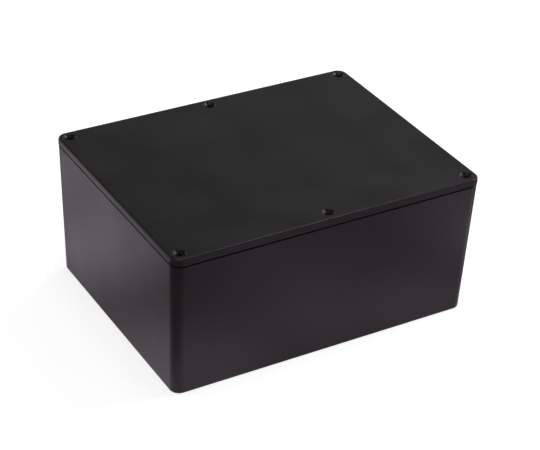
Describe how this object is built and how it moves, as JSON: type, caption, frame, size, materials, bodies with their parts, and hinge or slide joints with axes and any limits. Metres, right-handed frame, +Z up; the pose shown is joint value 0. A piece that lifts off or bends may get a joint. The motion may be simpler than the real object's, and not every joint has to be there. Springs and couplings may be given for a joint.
{
  "type": "die cast aluminium enclosure",
  "caption": "Deep black painted die cast aluminium box with tapered walls, inner screw bosses and board guides, and a flat gasketed lid held by countersunk screws.",
  "frame": {"origin": "centre of the flat underside of the box", "axes": "+X along the long side, +Y from the front towards the back, +Z up out of the underside towards the lid"},
  "size_m": [0.26, 0.2, 0.1184],
  "materials": {
    "black_paint": "satin black powder coat with a fine even texture over die cast aluminium",
    "gasket_rubber": "matt black moulded rubber",
    "black_screw_steel": "blackened steel, slightly oily sheen"
  },
  "bodies": {
    "box": {"box_body": "black_paint"},
    "lid": {"lid": "black_paint", "gasket": "gasket_rubber"},
    "screw_front_left": {"lid_screw_front_left": "black_screw_steel"},
    "screw_front_middle": {"lid_screw_front_middle": "black_screw_steel"},
    "screw_front_right": {"lid_screw_front_right": "black_screw_steel"},
    "screw_back_left": {"lid_screw_back_left": "black_screw_steel"},
    "screw_back_middle": {"lid_screw_back_middle": "black_screw_steel"},
    "screw_back_right": {"lid_screw_back_right": "black_screw_steel"}
  },
  "joints": [
    {"name": "lid_lift", "type": "slide", "parent": "box", "child": "lid", "axis": [0, 0, 1], "range_m": [0, 0.12]},
    {"name": "screw_front_left_out", "type": "slide", "parent": "lid", "child": "screw_front_left", "axis": [0, 0, 1], "range_m": [0, 0.022]},
    {"name": "screw_front_middle_out", "type": "slide", "parent": "lid", "child": "screw_front_middle", "axis": [0, 0, 1], "range_m": [0, 0.022]},
    {"name": "screw_front_right_out", "type": "slide", "parent": "lid", "child": "screw_front_right", "axis": [0, 0, 1], "range_m": [0, 0.022]},
    {"name": "screw_back_left_out", "type": "slide", "parent": "lid", "child": "screw_back_left", "axis": [0, 0, 1], "range_m": [0, 0.022]},
    {"name": "screw_back_middle_out", "type": "slide", "parent": "lid", "child": "screw_back_middle", "axis": [0, 0, 1], "range_m": [0, 0.022]},
    {"name": "screw_back_right_out", "type": "slide", "parent": "lid", "child": "screw_back_right", "axis": [0, 0, 1], "range_m": [0, 0.022]}
  ]
}
